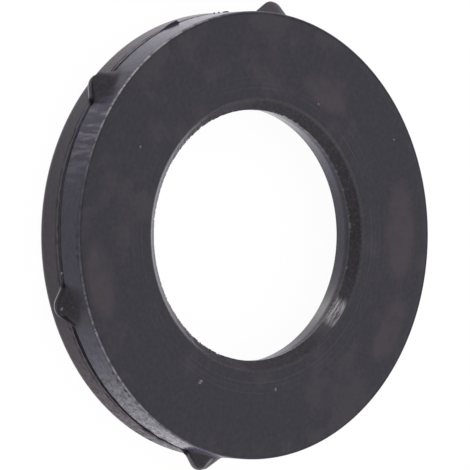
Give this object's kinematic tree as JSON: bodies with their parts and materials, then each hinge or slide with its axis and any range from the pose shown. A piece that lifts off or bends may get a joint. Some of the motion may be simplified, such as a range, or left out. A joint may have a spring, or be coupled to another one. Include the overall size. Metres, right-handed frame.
{
  "type": "damper ring",
  "caption": "Thick black rubber ring with a stepped bore and small pointed nibs round its outer wall that grip the seat it is pushed into.",
  "frame": {"origin": "centre of the back face, on the ring's axis", "axes": "+Z along the ring's axis from the back face to the front face, +X through one of the nibs"},
  "size_m": [0.0268, 0.025, 0.0037],
  "materials": {
    "rubber": "satin moulded black rubber"
  },
  "bodies": {
    "root": {"damper_ring": "rubber"}
  },
  "joints": []
}
